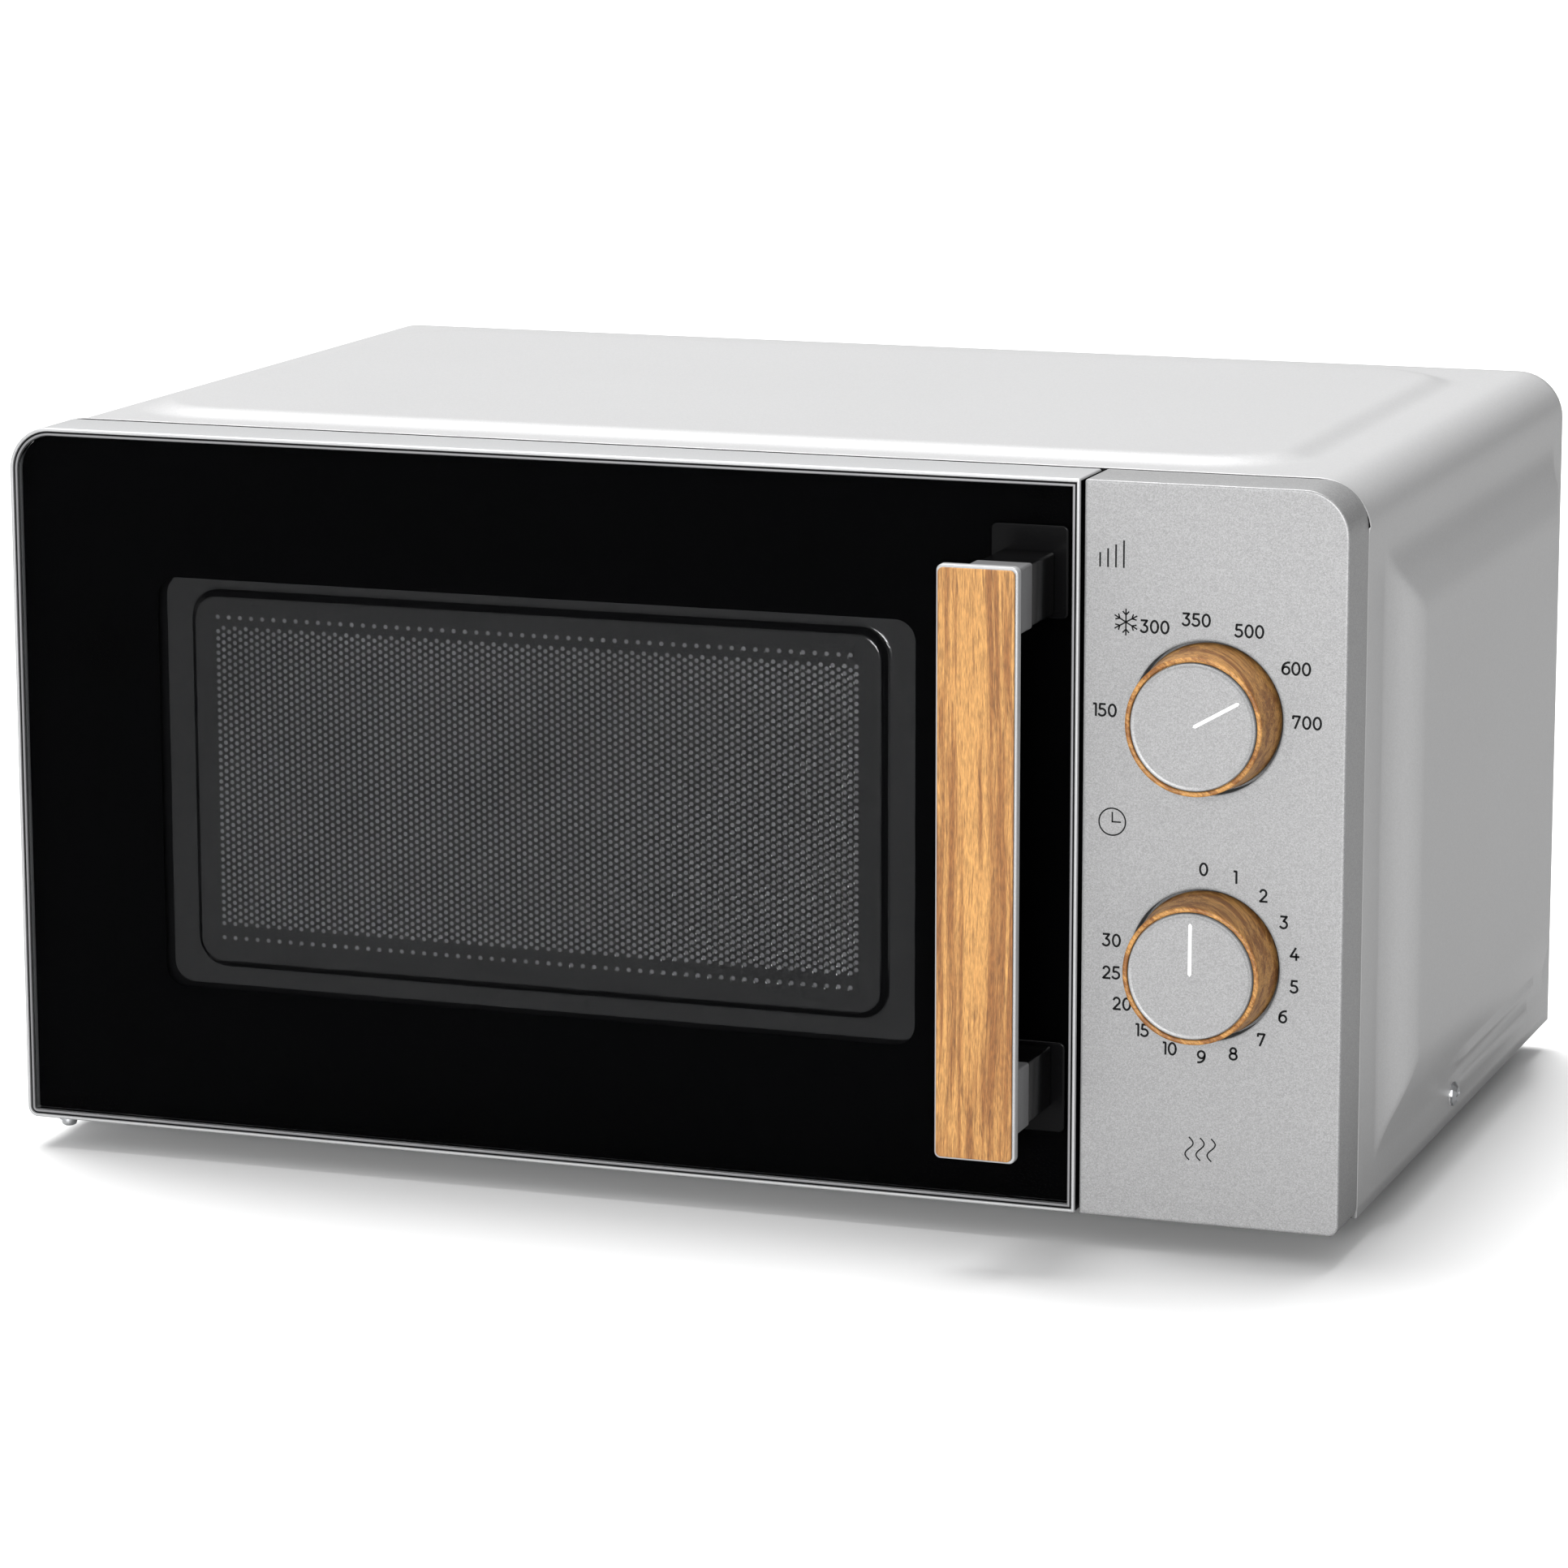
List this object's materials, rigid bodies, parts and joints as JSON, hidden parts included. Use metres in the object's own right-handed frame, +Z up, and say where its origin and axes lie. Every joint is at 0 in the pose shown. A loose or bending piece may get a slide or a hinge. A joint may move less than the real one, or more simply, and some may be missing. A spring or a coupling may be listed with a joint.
{
  "type": "microwave oven",
  "caption": "Compact microwave oven with a side-hinged glass door, a wood-look bar handle, two rotary dials and a glass turntable in a steel casing.",
  "frame": {"origin": "under the middle of the oven's bounding box, on the plane of the feet", "axes": "+X to the right seen from the front, -Y out of the front, +Z up"},
  "size_m": [0.471, 0.3492, 0.247],
  "materials": {
    "casing_silver": "satin metallic grey paint",
    "panel_silver": "satin metallic grey, fine sparkle",
    "trim_silver": "smooth satin silver",
    "wood_look": "light oak grain under satin lacquer",
    "black_plastic": "satin black",
    "door_glass_black": "black back-printed glass, clear at the window",
    "screen_black": "black enamel on perforated steel",
    "clear_film": "clear film",
    "zinc_steel": "galvanised",
    "cavity_enamel": "grey cavity enamel",
    "tray_glass": "clear pressed glass",
    "white_plastic": "moulded white",
    "mica": "pressed mica sheet",
    "copper_winding": "enamelled copper windings on a steel core",
    "dark_steel": "dull steel",
    "foot_rubber": "matt",
    "circuit_board": "green board"
  },
  "bodies": {
    "cabinet": {"outer_casing": "casing_silver", "base_plate": "zinc_steel", "rear_panel": "zinc_steel", "cord_bushing": "black_plastic", "foot_front_left": "foot_rubber", "foot_front_right": "foot_rubber", "foot_rear_left": "foot_rubber", "foot_rear_right": "foot_rubber", "rear_screw_left": "zinc_steel", "rear_screw_right": "zinc_steel", "side_screw_left": "zinc_steel", "side_screw_right": "zinc_steel", "front_frame": "cavity_enamel", "oven_cavity": "cavity_enamel", "waveguide_cover": "mica", "waveguide": "zinc_steel", "magnetron": "dark_steel", "hv_transformer": "copper_winding", "hv_capacitor": "zinc_steel", "fan_shroud": "white_plastic", "fan_motor": "dark_steel", "oven_lamp": "tray_glass", "noise_filter_board": "circuit_board", "turntable_motor": "zinc_steel", "upper_hinge": "zinc_steel", "lower_hinge": "zinc_steel", "interlock_bracket": "black_plastic", "interlock_switch_lower": "black_plastic", "interlock_switch_upper": "black_plastic", "control_panel": "panel_silver", "power_switch_unit": "white_plastic", "timer_unit": "white_plastic"},
    "door": {"door_bezel": "trim_silver", "door_glass": "door_glass_black", "door_screen": "screen_black", "door_film": "clear_film", "choke_cover": "black_plastic", "handle_bar": "trim_silver", "handle_strip": "wood_look", "handle_plate_lower": "black_plastic", "handle_plate_upper": "black_plastic", "handle_post_lower": "black_plastic", "handle_post_upper": "black_plastic", "latch_spring": "zinc_steel"},
    "latch": {"latch_carrier": "black_plastic"},
    "power_dial": {"power_knob": "wood_look", "power_knob_cap": "trim_silver", "power_shaft": "zinc_steel"},
    "timer_dial": {"timer_knob": "wood_look", "timer_knob_cap": "trim_silver", "timer_shaft": "zinc_steel"},
    "coupler": {"turntable_coupler": "white_plastic"},
    "tray": {"glass_tray": "tray_glass"},
    "ring": {"roller_ring": "white_plastic"},
    "wheel_1": {"roller_wheel_1": "white_plastic"},
    "wheel_2": {"roller_wheel_2": "white_plastic"},
    "wheel_3": {"roller_wheel_3": "white_plastic"},
    "fan": {"fan_blade": "white_plastic"},
    "plunger_lower": {"switch_plunger_lower": "white_plastic"},
    "plunger_upper": {"switch_plunger_upper": "white_plastic"}
  },
  "joints": [
    {"name": "door_hinge", "type": "hinge", "parent": "cabinet", "child": "door", "pos_m": [-0.218, -0.1206, 0.1275], "axis": [0, 0, -1], "range_deg": [0, 95]},
    {"name": "latch_lift", "type": "slide", "parent": "door", "child": "latch", "axis": [0, 0, 1], "range_m": [0, 0.004], "stiffness_N_per_m": 150, "springref_m": -0.004, "deforming": ["latch_spring"]},
    {"name": "power_turn", "type": "hinge", "parent": "cabinet", "child": "power_dial", "pos_m": [0.1832, -0.1326, 0.1723], "axis": [0, 1, 0], "range_deg": [-150, 30]},
    {"name": "timer_turn", "type": "hinge", "parent": "cabinet", "child": "timer_dial", "pos_m": [0.1832, -0.1326, 0.0939], "axis": [0, 1, 0], "range_deg": [0, 280]},
    {"name": "turntable_spin", "type": "hinge", "parent": "cabinet", "child": "coupler", "pos_m": [-0.0429, 0.0237, 0.028], "axis": [0, 0, 1], "continuous": true},
    {"name": "tray_lift", "type": "slide", "parent": "coupler", "child": "tray", "axis": [0, 0, 1], "range_m": [0, 0.02]},
    {"name": "ring_roll", "type": "hinge", "parent": "cabinet", "child": "ring", "pos_m": [-0.0429, 0.0237, 0.028], "axis": [0, 0, 1], "continuous": true},
    {"name": "wheel_1_roll", "type": "hinge", "parent": "ring", "child": "wheel_1", "pos_m": [-0.0429, 0.1187, 0.0353], "axis": [0, 1, 0], "continuous": true},
    {"name": "wheel_2_roll", "type": "hinge", "parent": "ring", "child": "wheel_2", "pos_m": [-0.12517, -0.0238, 0.0353], "axis": [-0.866, -0.5, 0], "continuous": true},
    {"name": "wheel_3_roll", "type": "hinge", "parent": "ring", "child": "wheel_3", "pos_m": [0.03937, -0.0238, 0.0353], "axis": [0.866, -0.5, 0], "continuous": true},
    {"name": "fan_spin", "type": "hinge", "parent": "cabinet", "child": "fan", "pos_m": [0.1698, 0.13, 0.16], "axis": [0, 1, 0], "continuous": true},
    {"name": "switch_press_lower", "type": "slide", "parent": "cabinet", "child": "plunger_lower", "axis": [0, 1, 0], "range_m": [0, 0.0012], "stiffness_N_per_m": 100, "springref_m": -0.001},
    {"name": "switch_press_upper", "type": "slide", "parent": "cabinet", "child": "plunger_upper", "axis": [0, 1, 0], "range_m": [0, 0.0012], "stiffness_N_per_m": 100, "springref_m": -0.001}
  ],
  "couplings": [
    {"joint": "ring_roll", "follows": "turntable_spin", "ratio": 0.5},
    {"joint": "wheel_1_roll", "follows": "turntable_spin", "ratio": -6.7857},
    {"joint": "wheel_2_roll", "follows": "turntable_spin", "ratio": -6.7857},
    {"joint": "wheel_3_roll", "follows": "turntable_spin", "ratio": -6.7857}
  ]
}
